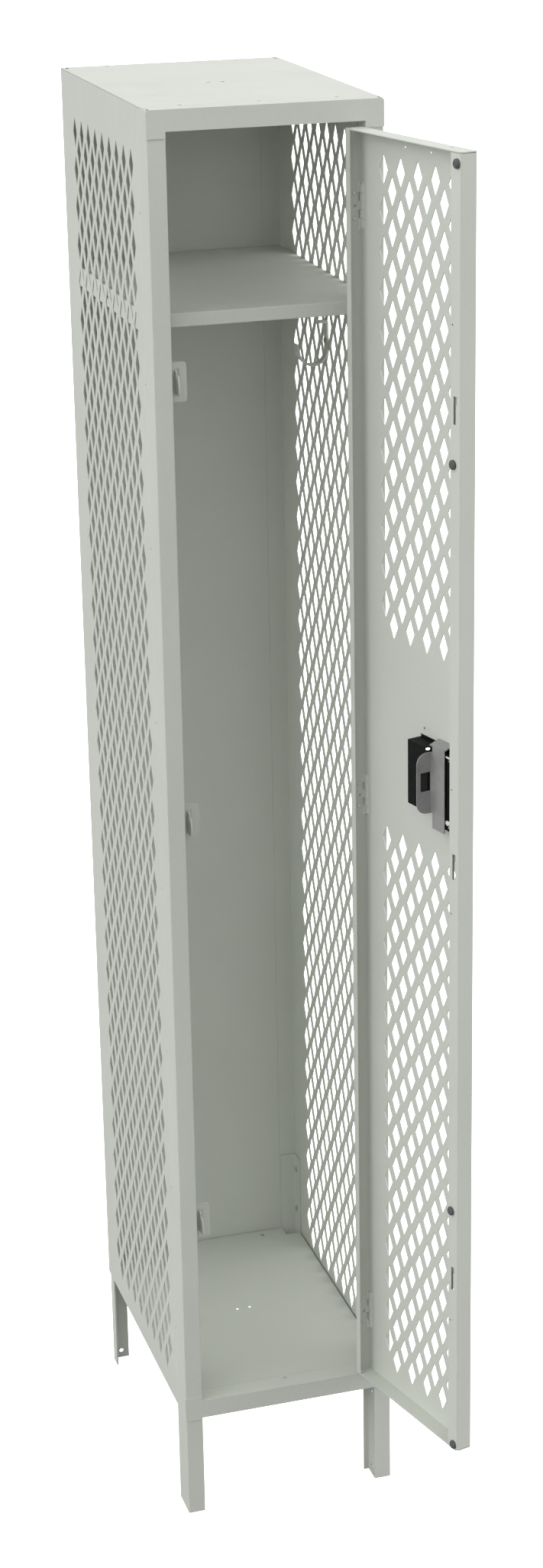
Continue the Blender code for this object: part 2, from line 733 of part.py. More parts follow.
def door_pan():
    half = DOOR_SHEET / 2
    inner = DOOR_DEPTH - half
    plan = [
        (DOOR_LOCK_X + RETURN_WIDTH, inner),
        (DOOR_LOCK_X + half, inner),
        (DOOR_LOCK_X + half, half),
        (DOOR_HINGE_X - half, half),
        (DOOR_HINGE_X - half, inner),
        (DOOR_HINGE_X - HINGE_LIP, inner),
    ]
    made = sheet("door_pan", plan, DOOR_SHEET, "xy", DOOR_BOTTOM, DOOR_TOP, PAINT)
    for name, low, inward in (
        ("door_top_flange", DOOR_TOP - DOOR_SHEET, -1),
        ("door_bottom_flange", DOOR_BOTTOM, 1),
    ):
        outer_edge = low + DOOR_SHEET / 2 - inward * 0.01
        cut_edge = low + DOOR_SHEET / 2 + inward * (DOOR_SHEET / 2 + LID_GAP)
        ends = sorted((outer_edge, cut_edge))
        channel_cut = box(
            f"{name}_channel_cut",
            (DOOR_LOCK_X - 0.01, DOOR_SHEET + 0.0008, ends[0]),
            (DOOR_LOCK_X + RETURN_WIDTH + 0.01, DOOR_DEPTH + 0.01, ends[1]),
            PAINT,
        )
        outline = [
            (DOOR_LOCK_X + 0.0002, half),
            (DOOR_HINGE_X - 0.0012, half),
            (DOOR_HINGE_X - 0.0085, DOOR_DEPTH - 0.0002),
            (DOOR_LOCK_X + 0.0040, DOOR_DEPTH - 0.0002),
            (DOOR_LOCK_X + 0.0002, DOOR_DEPTH - 0.0045),
        ]
        flange = prism(name, outline, "xy", low, low + DOOR_SHEET, PAINT)
        cut(made, channel_cut)
        join(made, flange)
        for i, (x, y) in enumerate(((0.1018, 0.0060), (-0.0868, 0.0085))):
            flange_hole = hole(f"{name}_hole_{i}", "xy", (x, y), 0.0022, low - 0.01, low + 0.01, 10)
            cut(made, flange_hole)
    cut(made, perforation_cutter())
    for where, middle in STRIKE_HEIGHTS.items():
        slot = box(
            f"{where}_slot",
            (TONGUE_X - SLOT_HALF_WIDTH, 0.0200, middle - SLOT_HALF_HEIGHT),
            (TONGUE_X + SLOT_HALF_WIDTH, 0.0260, middle + SLOT_HALF_HEIGHT),
            PAINT,
        )
        cut(made, slot)
    for where, middle in HINGE_HEIGHTS.items():
        reach = HINGE_LENGTH / 2 + NOTCH_MARGIN + 0.0010
        notch = box(
            f"{where}_notch",
            (AXIS.x - 0.0046, -0.004, middle - reach),
            (DOOR_HINGE_X + 0.002, AXIS.y + 0.0046, middle + reach),
            PAINT,
        )
        cut(made, notch)
        for i, (offset, y) in enumerate(((0.0160, 0.0120), (0.0, 0.0112), (-0.0160, 0.0120))):
            rivet_hole = hole(
                f"{where}_flange_hole_{i}",
                "yz",
                (y, middle + offset),
                0.0021,
                DOOR_HINGE_X - 0.004,
                DOOR_HINGE_X + 0.001,
                10,
            )
            cut(made, rivet_hole)
    for i, (distance, z, radius) in enumerate(
        ((0.1780, 1.9335, 0.0015), (0.1220, 1.9335, 0.0015), (0.1364, 1.1970, 0.0018), (0.1263, 1.1983, 0.0006))
    ):
        cut(made, hole(f"door_hole_{i}", "xz", (across(distance), z), radius, -0.004, 0.004, 10))
    for where, middle in GUIDE_HEIGHTS.items():
        centre = (across(0.0418), middle)
        cut(made, hole(f"{where}_guide_hole", "xz", centre, 0.0014, DOOR_DEPTH - 0.002, DOOR_DEPTH + 0.001, 10))
    low_hole = box(
        "low_pocket_hole",
        (POCKET_LOCK_X - GAP, -0.004, POCKET_BOTTOM - GAP),
        (POCKET_CORNER_X + GAP, 0.004, POCKET_FACE_TOP - 0.01),
        PAINT,
    )
    pocket_hole = box(
        "pocket_hole",
        (POCKET_LOCK_X - GAP, -0.004, POCKET_DEEP_BOTTOM - GAP),
        (POCKET_HINGE_X + GAP, 0.004, POCKET_FACE_TOP),
        PAINT,
    )
    return cut(made, low_hole, pocket_hole)


def bumper(name, x, z):
    base = DOOR_DEPTH + GAP
    rings = ((0.0, 1.0), (0.55, 1.0), (0.85, 0.80), (1.0, 0.45))
    shape = bmesh.new()
    sides = 16
    loops = []
    for share, width in rings:
        ring = circle(x, z, BUMPER_RADIUS * width, sides)
        y = base + (BUMPER_HEIGHT - GAP) * share
        loops.append([shape.verts.new((a, y, b)) for a, b in ring])
    shape.faces.new(loops[0])
    shape.faces.new(loops[-1])
    for low, high in zip(loops, loops[1:]):
        for i in range(sides):
            j = (i + 1) % sides
            shape.faces.new((low[i], low[j], high[j], high[i]))
    return new_object(name, shape, RUBBER, smooth=True)


# Latch
POCKET_LOCK_X = across(0.0480)
POCKET_STEP_X = across(0.1010)
POCKET_CORNER_X = across(0.0900)  # the bottom edge steps up here
POCKET_HINGE_X = across(0.1447)
POCKET_BOTTOM = 1.0800
POCKET_DEEP_BOTTOM = 1.0967
POCKET_TOP = 1.1835
POCKET_FACE_TOP = 1.1880
POCKET_SHALLOW = 0.0125
POCKET_DEEP = 0.0215
POCKET_WALL = 0.0015
RIM = 0.0045
RIM_TOP = 1.2020
RECESS_BOTTOM = 1.1000
RECESS_TOP = 1.1800
BRACKET_LOCK_X = across(0.0690)
BRACKET_HINGE_X = across(0.0995)
BRACKET_BACK = 0.0148
BRACKET_FRONT = 0.0162
BRACKET_BOTTOM = 1.0752
BRACKET_TOP = 1.1878
LUG_END = 0.0385
HANDLE_X = across(0.0760)
STEM_X = (across(0.0820), across(0.0860))
STEM_Z = (1.1220, 1.1460)
EYE_CENTRE = (-0.0060, 1.1340)
EYE_RADIUS = 0.0048


def latch_pocket():
    """Black pocket: a deep finger cup beside a shallow floor that the lift handle slides over."""
    body = box(
        "latch_pocket",
        (POCKET_LOCK_X, -0.0015, POCKET_DEEP_BOTTOM),
        (POCKET_STEP_X, POCKET_SHALLOW, POCKET_TOP),
        BLACK,
    )
    low_body = box(
        "pocket_low_body",
        (POCKET_LOCK_X, -0.0015, POCKET_BOTTOM),
        (POCKET_CORNER_X, POCKET_SHALLOW, POCKET_TOP - 0.01),
        BLACK,
    )
    cup = box(
        "pocket_cup",
        (POCKET_STEP_X - 0.001, -0.0015, POCKET_DEEP_BOTTOM),
        (POCKET_HINGE_X, POCKET_DEEP, POCKET_TOP + 0.0005),
        BLACK,
    )
    rim = box(
        "pocket_rim",
        (POCKET_LOCK_X - RIM, -0.0018, POCKET_BOTTOM - RIM),
        (POCKET_HINGE_X + RIM, -GAP, RIM_TOP),
        BLACK,
    )
    join(body, low_body, cup, rim)
    shallow_recess = box(
        "shallow_recess",
        (POCKET_LOCK_X + 0.0080, -0.005, RECESS_BOTTOM),
        (POCKET_STEP_X + 0.002, POCKET_SHALLOW - POCKET_WALL, RECESS_TOP),
        BLACK,
    )
    deep_recess = box(
        "deep_recess",
        (POCKET_STEP_X + POCKET_WALL, -0.005, POCKET_DEEP_BOTTOM + POCKET_WALL),
        (POCKET_HINGE_X - POCKET_WALL, POCKET_DEEP - POCKET_WALL, POCKET_TOP - 0.001),
        BLACK,
    )
    stem_slot = box(
        "stem_slot",
        (STEM_X[0] - 0.001, 0.005, STEM_Z[0] - 0.001),
        (STEM_X[1] + 0.001, 0.016, STEM_Z[1] + LIFT_TRAVEL + 0.001),
        BLACK,
    )
    corner_opening = box(
        "corner_opening",
        (POCKET_STEP_X - 0.002, 0.0155, 1.1805),
        (POCKET_STEP_X + 0.0045, 0.0240, POCKET_TOP + 0.003),
        BLACK,
    )
    return cut(body, shallow_recess, deep_recess, stem_slot, corner_opening)


def lift_bracket():
    """Grey bracket on the door's inner side: a plate, a sloping top flange, and a bent lug with a window."""
    plate = box(
        "lift_bracket",
        (BRACKET_LOCK_X, BRACKET_BACK, BRACKET_BOTTOM),
        (BRACKET_HINGE_X - 0.0032, BRACKET_FRONT, BRACKET_TOP),
        STEEL,
    )
    slope = [
        (BRACKET_FRONT, BRACKET_TOP - 0.0014),
        (BRACKET_FRONT, BRACKET_TOP),
        (0.0024, BRACKET_TOP + 0.0052),
        (0.0024, BRACKET_TOP + 0.0038),
    ]
    top = prism("bracket_top", slope, "yz", BRACKET_LOCK_X, BRACKET_HINGE_X + 0.0025, STEEL)
    low, high, corner = 1.0960, 1.1790, 0.0150
    middle_y = (BRACKET_BACK + BRACKET_FRONT) / 2
    lug_x = BRACKET_HINGE_X - 0.0007
    lug_path = [(BRACKET_LOCK_X + 0.001, middle_y), (lug_x, middle_y), (lug_x, LUG_END)]
    lug = sheet("bracket_lug", lug_path, 0.0014, "xy", low, high, STEEL, 0.0016)
    arc = [math.pi / 2 * step / 6 for step in range(7)]
    for name, edge, turn in (("high", high, 1), ("low", low, -1)):
        outline = [(LUG_END + 0.001, edge + turn * 0.001), (LUG_END - corner, edge + turn * 0.001)]
        outline += [
            (LUG_END - corner + corner * math.sin(a), edge - turn * (corner - corner * math.cos(a))) for a in arc
        ]
        outline.append((LUG_END + 0.001, edge - turn * corner))
        cut(lug, prism(f"lug_corner_{name}", outline, "yz", lug_x - 0.004, lug_x + 0.004, STEEL))
    window = box(
        "lug_window",
        (BRACKET_HINGE_X - 0.004, 0.0176, 1.1265),
        (BRACKET_HINGE_X + 0.002, 0.0330, 1.1525),
        STEEL,
    )
    cut(lug, window)
    return join(plate, top, lug)


def lift_handle():
    """Finger lift in the pocket, with the moving half of the padlock eye and a stem to the bracket."""
    plate = box(
        "lift_handle",
        (HANDLE_X - 0.0060, 0.0040, 1.1080),
        (across(0.0985), 0.0056, 1.1600),
        STEEL,
    )
    finger = box(
        "handle_finger",
        (HANDLE_X - 0.0060, -0.0060, 1.1080),
        (across(0.0985), 0.0056, 1.1096),
        STEEL,
    )
    eye = box(
        "handle_eye",
        (HANDLE_X - 0.0060, -0.0140, 1.1240),
        (HANDLE_X - 0.0042, 0.0056, 1.1440),
        STEEL,
    )
    stem = box(
        "handle_stem",
        (STEM_X[0], 0.0050, STEM_Z[0]),
        (STEM_X[1], BRACKET_BACK - GAP, STEM_Z[1]),
        STEEL,
    )
    join(plate, finger, eye, stem)
    return cut(plate, hole("handle_eye_hole", "yz", EYE_CENTRE, EYE_RADIUS, HANDLE_X - 0.008, HANDLE_X - 0.002))


def padlock_hasp():
    """Fixed half of the padlock eye, standing on the pocket's shallow floor."""
    far = HANDLE_X - 0.0060 - GAP
    plate = box(
        "padlock_hasp",
        (far - 0.0018, -0.0140, 1.1240),
        (far, POCKET_SHALLOW - POCKET_WALL - GAP, 1.1440),
        STEEL,
    )
    foot = box(
        "hasp_foot",
        (far - 0.0070, POCKET_SHALLOW - POCKET_WALL - GAP - 0.0018, 1.1160),
        (far, POCKET_SHALLOW - POCKET_WALL - GAP, 1.1520),
        STEEL,
    )
    join(plate, foot)
    return cut(plate, hole("hasp_eye_hole", "yz", EYE_CENTRE, EYE_RADIUS, far - 0.004, far + 0.001))


def latch_bar():
    bar = box(
        "latch_bar",
        (BAR_X[0], BAR_BACK, 0.3700),
        (BAR_X[1], BAR_FRONT, 1.7560),
        STEEL,
    )
    for where, middle in STRIKE_HEIGHTS.items():
        window = box(
            f"{where}_bar_window",
            (TONGUE_X - 0.0041, BAR_BACK - 0.002, middle - 0.0270),
            (TONGUE_X + 0.0041, BAR_FRONT + 0.002, middle + 0.0070),
            STEEL,
        )
        cut(bar, window)
    middle_y = (BAR_BACK + BAR_FRONT) / 2
    low_y = BRACKET_BACK - GAP - 0.0008
    for where, (low, high) in {"low": (1.0893, 1.0930), "high": (1.1796, 1.1809)}.items():
        plan = [
            (across(0.0430), middle_y),
            (across(0.0520), middle_y),
            (across(0.0560), low_y),
            (across(0.0780), low_y),
        ]
        arm = sheet(f"{where}_arm", plan, 0.0014, "xy", low, high, STEEL)
        join(bar, arm)
    return bar


def bar_guide(name, middle):
    """Nylon guide behind the return flange; the bar slides between its two cheeks."""
    back = BAR_BACK - GAP
    plate = box(
        name,
        (GUIDE_LOCK_X, back - 0.0025, middle - 0.010),
        (GUIDE_HINGE_X, back, middle + 0.010),
        NYLON,
    )
    for cheek, (start, end) in {
        "lock": (GUIDE_LOCK_X, BAR_X[0] - GAP),
        "hinge": (BAR_X[1] + GAP, GUIDE_HINGE_X),
    }.items():
        join(
            plate,
            box(
                f"{name}_{cheek}",
                (start, back - 0.001, middle - 0.010),
                (end, DOOR_DEPTH - DOOR_SHEET - GAP, middle + 0.010),
                NYLON,
            ),
        )
    return plate


# Assembly
def empty(name, location=(0.0, 0.0, 0.0), angle=0.0):
    made = bpy.data.objects.new(name, None)
    made.location = location
    made.rotation_euler = (0.0, 0.0, angle)
    bpy.context.collection.objects.link(made)
    return made


def hang_on_door(objects, pivot):
    """Gives each piece its origin on the hinge axis and parents it to the pivot."""
    for piece in objects:
        if piece.type == "MESH":
            piece.data.transform(Matrix.Translation(-AXIS))
            piece.parent = pivot


def build_cabinet():
    for hand, side in (("left", -1), ("right", 1)):
        upright(f"{hand}_upright", side)
        side_panel(f"{hand}_side_panel", side)
        rear_leg(f"rear_{hand}_leg", side)
        leg_bolts(f"leg_bolt_{hand}", side)
    header()
    sill()
    back_panel()
    top_panel()
    bottom_panel()
    hat_shelf()
    shelf_bolts()
    coat_hook()
    for where, middle in STRIKE_HEIGHTS.items():
        strike_hook(f"{where}_strike_hook", middle)


def build_door():
    """The pieces that turn with the door, all drawn with the door closed."""
    known = set(bpy.data.objects)
    door_pan()
    latch_pocket()
    lift_bracket()
    lift_handle()
    padlock_hasp()
    latch_bar()
    for where, (x, z) in BUMPERS.items():
        bumper(f"{where}_bumper", x, z)
    for where, middle in GUIDE_HEIGHTS.items():
        bar_guide(f"{where}_bar_guide", middle)
    return [o for o in bpy.data.objects if o not in known]


def build_hinges():
    """Returns the pieces that turn with the door; the frame's leaves and the pins stay still."""
    turning = []
    for where, middle in HINGE_HEIGHTS.items():
        known = set(bpy.data.objects)
        hinge(where, middle)
        made = [o for o in bpy.data.objects if o not in known]
        turning += [o for o in made if o.name.endswith(("door_leaf", "knuckle_1", "knuckle_3"))]
        turning += [o for o in made if o.name.endswith(("knuckle_1_strap", "knuckle_3_strap"))]
    return turning


def stand_on_origin(root):
    """Moves the assembly so that the origin is under the middle of its box, on the floor."""
    bpy.context.view_layer.update()
    graph = bpy.context.evaluated_depsgraph_get()
    corners = [
        shown.matrix_world @ vertex.co
        for piece in bpy.data.objects
        if piece.type == "MESH" and not piece.hide_render
        for shown in [piece.evaluated_get(graph)]
        for vertex in shown.data.vertices
    ]
    low = [min(c[i] for c in corners) for i in range(3)]
    high = [max(c[i] for c in corners) for i in range(3)]
    root.location = (-(low[0] + high[0]) / 2, -(low[1] + high[1]) / 2, -low[2])


build_cabinet()
turning_pieces = build_door() + build_hinges()
door_pivot = empty("door_pivot", AXIS, OPEN_ANGLE)
hang_on_door(turning_pieces, door_pivot)
cabinet = empty("cabinet")
for piece in list(bpy.data.objects):
    if piece is not cabinet and piece.parent is None:
        piece.parent = cabinet
stand_on_origin(cabinet)
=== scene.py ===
"""Locker cabinet: materials, sheet detail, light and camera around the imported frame. Metres throughout."""

import math

import bmesh
import bpy
from mathutils import Matrix, Vector
from mathutils.geometry import delaunay_2d_cdt


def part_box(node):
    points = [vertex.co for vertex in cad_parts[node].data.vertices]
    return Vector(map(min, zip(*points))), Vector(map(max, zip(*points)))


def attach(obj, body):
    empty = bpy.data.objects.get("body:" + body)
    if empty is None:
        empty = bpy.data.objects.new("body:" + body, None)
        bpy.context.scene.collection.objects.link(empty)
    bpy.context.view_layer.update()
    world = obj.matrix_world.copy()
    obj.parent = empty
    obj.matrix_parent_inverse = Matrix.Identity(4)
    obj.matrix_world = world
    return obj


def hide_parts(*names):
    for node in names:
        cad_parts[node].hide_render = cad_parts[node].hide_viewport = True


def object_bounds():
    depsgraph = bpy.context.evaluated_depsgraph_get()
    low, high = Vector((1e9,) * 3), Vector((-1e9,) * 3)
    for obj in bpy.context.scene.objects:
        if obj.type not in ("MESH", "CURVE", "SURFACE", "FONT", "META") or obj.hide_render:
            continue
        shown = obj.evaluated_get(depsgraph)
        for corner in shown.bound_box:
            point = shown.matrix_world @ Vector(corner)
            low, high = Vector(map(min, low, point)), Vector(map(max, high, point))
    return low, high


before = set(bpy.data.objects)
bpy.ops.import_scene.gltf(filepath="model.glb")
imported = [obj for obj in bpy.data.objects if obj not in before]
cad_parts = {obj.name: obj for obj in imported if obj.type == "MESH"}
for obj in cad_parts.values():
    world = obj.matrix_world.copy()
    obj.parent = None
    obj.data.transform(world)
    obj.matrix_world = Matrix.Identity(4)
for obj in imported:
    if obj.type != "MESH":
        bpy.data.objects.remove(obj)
cad_low, cad_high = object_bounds()

# The frame's own landmarks. Across is measured from the cabinet's middle, back from the uprights' face.
MIDDLE_X = (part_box("left_upright")[0].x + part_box("right_upright")[1].x) / 2
FRONT_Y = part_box("left_upright")[0].y
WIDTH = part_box("right_upright")[1].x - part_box("left_upright")[0].x
HALF_WIDTH = WIDTH / 2


def at(across, back, up):
    return Vector((MIDDLE_X + across, FRONT_Y + back, up))


# ---------------------------------------------------------------- materials


class Look:
    """A material's node tree, built a node at a time."""

    def __init__(self, name):
        self.material = bpy.data.materials.new(name)
        self.material.use_nodes = True
        self.tree = self.material.node_tree
        self.tree.nodes.clear()
        self.output = self.tree.nodes.new("ShaderNodeOutputMaterial")
        self.shader = self.tree.nodes.new("ShaderNodeBsdfPrincipled")
        self.tree.links.new(self.shader.outputs["BSDF"], self.output.inputs["Surface"])
        coordinates = self.tree.nodes.new("ShaderNodeTexCoord")
        self.place = coordinates.outputs["Object"]

    def set(self, **values):
        for name, value in values.items():
            self.shader.inputs[name.replace("_", " ")].default_value = value

    def node(self, kind, **values):
        node = self.tree.nodes.new(kind)
        for name, value in values.items():
            setattr(node, name, value)
        return node

    def link(self, start, end):
        self.tree.links.new(start, end)

    def noise(self, scale, detail=3.0, roughness=0.5, stretch=None):
        """Noise through the object's own coordinates, with features about 1/scale metres across."""
        node = self.node("ShaderNodeTexNoise")
        node.inputs["Scale"].default_value = scale
        node.inputs["Detail"].default_value = detail
        node.inputs["Roughness"].default_value = roughness
        place = self.place
        if stretch:
            mapping = self.node("ShaderNodeMapping")
            mapping.inputs["Scale"].default_value = stretch
            self.link(place, mapping.inputs["Vector"])
            place = mapping.outputs["Vector"]
        self.link(place, node.inputs["Vector"])
        return node.outputs["Fac"]

    def span(self, source, low, high, start=0.3, end=0.7):
        """source from start..end mapped to low..high."""
        node = self.node("ShaderNodeMapRange")
        for name, value in (("From Min", start), ("From Max", end), ("To Min", low), ("To Max", high)):
            node.inputs[name].default_value = value
        self.link(source, node.inputs["Value"])
        return node.outputs["Result"]

    def mix(self, factor, first, second):
        """A colour between first and second, each a colour or a socket."""
        node = self.node("ShaderNodeMix", data_type="RGBA")
        for socket, value in ((node.inputs[6], first), (node.inputs[7], second)):
            if isinstance(value, tuple):
                socket.default_value = (*value, 1)
            else:
                self.link(value, socket)
        self.link(factor, node.inputs[0])
        return node.outputs[2]

    def colour(self, source):
        self.link(source, self.shader.inputs["Base Color"])

    def roughness(self, source):
        self.link(source, self.shader.inputs["Roughness"])

    def bumps(self, *layers):
        """layers are (height socket, strength, distance)."""
        normal = None
        for height, strength, distance in layers:
            node = self.node("ShaderNodeBump")
            node.inputs["Strength"].default_value = strength
            node.inputs["Distance"].default_value = distance
            self.link(height, node.inputs["Height"])
            if normal:
                self.link(normal, node.inputs["Normal"])
            normal = node.outputs["Normal"]
        self.link(normal, self.shader.inputs["Normal"])


ENAMEL_DARK = (0.590, 0.613, 0.560)
ENAMEL_LIGHT = (0.616, 0.640, 0.586)
ENAMEL_FLECK = (0.72, 0.74, 0.70, 1)


def enamel():
    """Baked satin enamel: a broad faint mottle, speckle and orange peel, and a slight roll in the sheet."""
    look = Look("locker_enamel")
    broad = look.span(look.noise(5.0, 2.0), 0.0, 1.0)
    speckle = look.span(look.noise(700.0, 2.0, 0.6), 0.0, 1.0, 0.35, 0.65)
    base = look.mix(broad, ENAMEL_DARK, ENAMEL_LIGHT)
    flecks = look.node("ShaderNodeMix", data_type="RGBA", blend_type="MULTIPLY")
    look.link(look.span(speckle, 0.0, 0.10), flecks.inputs[0])
    look.link(base, flecks.inputs[6])
    flecks.inputs[7].default_value = ENAMEL_FLECK
    look.colour(flecks.outputs[2])
    look.roughness(look.span(look.noise(30.0, 3.0), 0.38, 0.48))
    roll = (look.noise(9.0, 1.0), 0.10, 0.002)
    orange_peel = (look.noise(650.0, 2.0, 0.55), 0.16, 0.0003)
    look.bumps(roll, orange_peel)
    look.set(Specular_IOR_Level=0.42)
    return look.material


ZINC_DARK = (0.345, 0.345, 0.345)
ZINC_LIGHT = (0.42, 0.42, 0.415)


def plated_steel():
    """Dull zinc plate: drawn grain along the height, cloudy tone."""
    look = Look("zinc_plate")
    cloud = look.span(look.noise(60.0, 4.0, 0.6), 0.0, 1.0)
    look.colour(look.mix(cloud, ZINC_DARK, ZINC_LIGHT))
    grain = look.noise(900.0, 3.0, 0.6, stretch=(1.0, 1.0, 0.04))
    look.roughness(look.span(grain, 0.36, 0.52))
    look.bumps((grain, 0.20, 0.0002))
    look.set(Metallic=0.45)
    return look.material


def moulded(name, dark, light, roughness, grain, strength, specular=0.35):
    """Moulded plastic or rubber: a spark-eroded surface, finer for a higher grain, and a trace of dust."""
    look = Look(name)
    tone = look.span(look.noise(90.0, 4.0, 0.6), 0.0, 1.0)
    look.colour(look.mix(tone, dark, light))
    look.roughness(look.span(look.noise(220.0, 2.0), roughness - 0.06, roughness + 0.06))
    look.bumps((look.noise(grain, 2.0, 0.6), strength, 0.0003))
    look.set(Specular_IOR_Level=specular)
    return look.material


looks = {
    "grey_paint": enamel(),
    "zinc_steel": plated_steel(),
    "black_plastic": moulded(
        "black_moulding",
        dark=(0.006, 0.0065, 0.0063),
        light=(0.010, 0.011, 0.0105),
        roughness=0.55,
        grain=1800.0,
        strength=0.35,
        specular=0.10,
    ),
    "dark_rubber": moulded(
        "dark_rubber",
        dark=(0.085, 0.085, 0.088),
        light=(0.115, 0.115, 0.118),
        roughness=0.72,
        grain=1200.0,
        strength=0.30,
    ),
    "white_nylon": moulded(
        "nylon",
        dark=(0.66, 0.65, 0.60),
        light=(0.74, 0.73, 0.68),
        roughness=0.48,
        grain=1000.0,
        strength=0.15,
    ),
}
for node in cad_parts.values():
    for finish in node.material_slots:
        finish.material = looks[finish.material.name.split(".")[0]]


# ---------------------------------------------------------------- building


def add_piece(name, shape, body, slot, smooth=False):
    """A new object from a bmesh, riding on body and finished in slot's material."""
    bmesh.ops.recalc_face_normals(shape, faces=shape.faces)
    data = bpy.data.meshes.new(name)
    shape.to_mesh(data)
    shape.free()
    if smooth:
        data.shade_smooth()
    data.materials.append(looks[slot])
    piece = bpy.data.objects.new(name, data)
    bpy.context.scene.collection.objects.link(piece)
    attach(piece, body)
    return piece


def bent_path(points, radius, steps=4):
    """points with each inner corner turned into an arc."""
    points = [Vector(p) for p in points]
    path = [points[0]]
    for before, corner, after in zip(points, points[1:], points[2:]):
        come, go = (before - corner).normalized(), (after - corner).normalized()
        half = come.angle(go) / 2
        reach = radius / math.tan(half)
        centre = corner + (come + go).normalized() * (radius / math.sin(half))
        start, end = corner + come * reach - centre, corner + go * reach - centre
        sweep = start.angle(end)
        for i in range(steps + 1):
            t = i / steps
            a, b = math.sin((1 - t) * sweep), math.sin(t * sweep)
            path.append(centre + (start * a + end * b) / math.sin(sweep))
    path.append(points[-1])
    return path


def offset_path(path, distance):
    """path moved sideways by distance, mitred at its corners."""
    lines = []
    for i, point in enumerate(path):
        before = (point - path[i - 1]).normalized() if i else None
        after = (path[i + 1] - point).normalized() if i + 1 < len(path) else None
        first = Vector((-(before or after).y, (before or after).x))
        second = Vector((-(after or before).y, (after or before).x))
        middle = (first + second).normalized()
        lines.append(point + middle * (distance / middle.dot(first)))
    return lines


# ---------------------------------------------------------------- side sheets


SIDE_SHEET = 0.0009
SIDE_BEND = 0.0008  # radius of the sheet's middle at each fold
JOGGLE_DEPTH = 0.0018  # how far the front edge is set in
JOGGLE_START, JOGGLE_END = 0.0470, 0.0508  # back from the uprights' face
DIAMOND_WIDTH, DIAMOND_HEIGHT = 0.0211, 0.0413
COLUMN_PITCH, ROW_PITCH = 0.0381, 0.0254
SIDE_ROWS, SIDE_COLUMNS = 68, 9  # every other row has a column fewer
SIDE_FIRST_ROW = 1.9046  # height of the top row's middle
SIDE_MIDDLE = 0.2338  # the pattern's middle, back from the uprights' face
SNAP = 1e-7  # points nearer than this are one point


def side_path(name, side):
    """The middle of the sheet from above: joggled front edge, wall and rear flange."""
    low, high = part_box(name)
    outer = HALF_WIDTH - SIDE_SHEET / 2
    inner = outer - JOGGLE_DEPTH
    back = high.y - FRONT_Y - SIDE_SHEET / 2
    flange_end = MIDDLE_X - high.x if side < 0 else low.x - MIDDLE_X
    corners = [
        (side * inner, low.y - FRONT_Y),
        (side * inner, JOGGLE_START),
        (side * outer, JOGGLE_END),
        (side * outer, back),
        (side * flange_end, back),
    ]
    return bent_path(corners, SIDE_BEND)


def unrolled_sheet(lengths, bottom, top):
    """Points and edges of the flat sheet: its outline, and a line across it at each of the lengths."""
    points, edges = [], []
    for length in lengths:
        points += [Vector((length, bottom)), Vector((length, top))]
        edges.append((len(points) - 2, len(points) - 1))
    for i in range(len(lengths) - 1):
        edges += [(2 * i, 2 * i + 2), (2 * i + 1, 2 * i + 3)]
    return points, edges


def diamonds(middle):
    """Each diamond's corners on the flat sheet, in staggered rows with their middle at that length."""
    outlines = []
    for row in range(SIDE_ROWS):
        z = SIDE_FIRST_ROW - row * ROW_PITCH
        columns = SIDE_COLUMNS - row % 2
        for column in range(columns):
            u = middle + (column - (columns - 1) / 2) * COLUMN_PITCH
            outline = [
                Vector((u, z + DIAMOND_HEIGHT / 2)),
                Vector((u + DIAMOND_WIDTH / 2, z)),
                Vector((u, z - DIAMOND_HEIGHT / 2)),
                Vector((u - DIAMOND_WIDTH / 2, z)),
            ]
            outlines.append(outline)
    return outlines


def folded_sheet(path, lengths, flat, triangles):
    """The flat triangles folded along path, as both faces of the sheet with its cut edges between them."""
    shape = bmesh.new()
    near, far = offset_path(path, SIDE_SHEET / 2), offset_path(path, -SIDE_SHEET / 2)
    fronts, backs = [], []
    for point in flat:
        i = max(k for k in range(len(lengths) - 1) if lengths[k] <= point.x + SNAP)
        share = (point.x - lengths[i]) / (lengths[i + 1] - lengths[i])
        for line, made in ((near, fronts), (far, backs)):
            spot = line[i].lerp(line[i + 1], share)
            made.append(shape.verts.new(at(spot.x, spot.y, point.y)))
    border = {}
    for triangle in triangles:
        shape.faces.new([fronts[i] for i in triangle])
        shape.faces.new([backs[i] for i in reversed(triangle)])
        for a, b in zip(triangle, triangle[1:] + triangle[:1]):
            if (b, a) in border:
                del border[(b, a)]
            else:
                border[(a, b)] = True
    for a, b in border:
        shape.faces.new((fronts[b], fronts[a], backs[a], backs[b]))
    for vertex in [v for v in shape.verts if not v.link_faces]:
        shape.verts.remove(vertex)
    return shape


def perforated_side(name, side):
    """The side sheet with its diamonds, cut flat and then folded, in place of the frame's plain sheet."""
    path = side_path(name, side)
    lengths = [0.0]
    for a, b in zip(path, path[1:]):
        lengths.append(lengths[-1] + (b - a).length)
    low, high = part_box(name)
    points, edges = unrolled_sheet(lengths, low.z, high.z)
    wall = max(range(len(path) - 1), key=lambda i: (path[i + 1] - path[i]).length)
    wall_start = lengths[wall] - path[wall].y
    holes = []
    for outline in diamonds(wall_start + SIDE_MIDDLE):
        first = len(points)
        points += outline
        holes.append([first + 3, first + 2, first + 1, first])
    flat, _, triangles, _, _, within = delaunay_2d_cdt(points, edges, holes, 0, SNAP)
    kept = [triangle for triangle, hole in zip(triangles, within) if not hole]
    panel = add_piece(f"{name}_perforated", folded_sheet(path, lengths, flat, kept), "cabinet", "grey_paint")
    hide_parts(name)


perforated_side("left_side_panel", -1)
perforated_side("right_side_panel", 1)


# ---------------------------------------------------------------- small pieces on the door


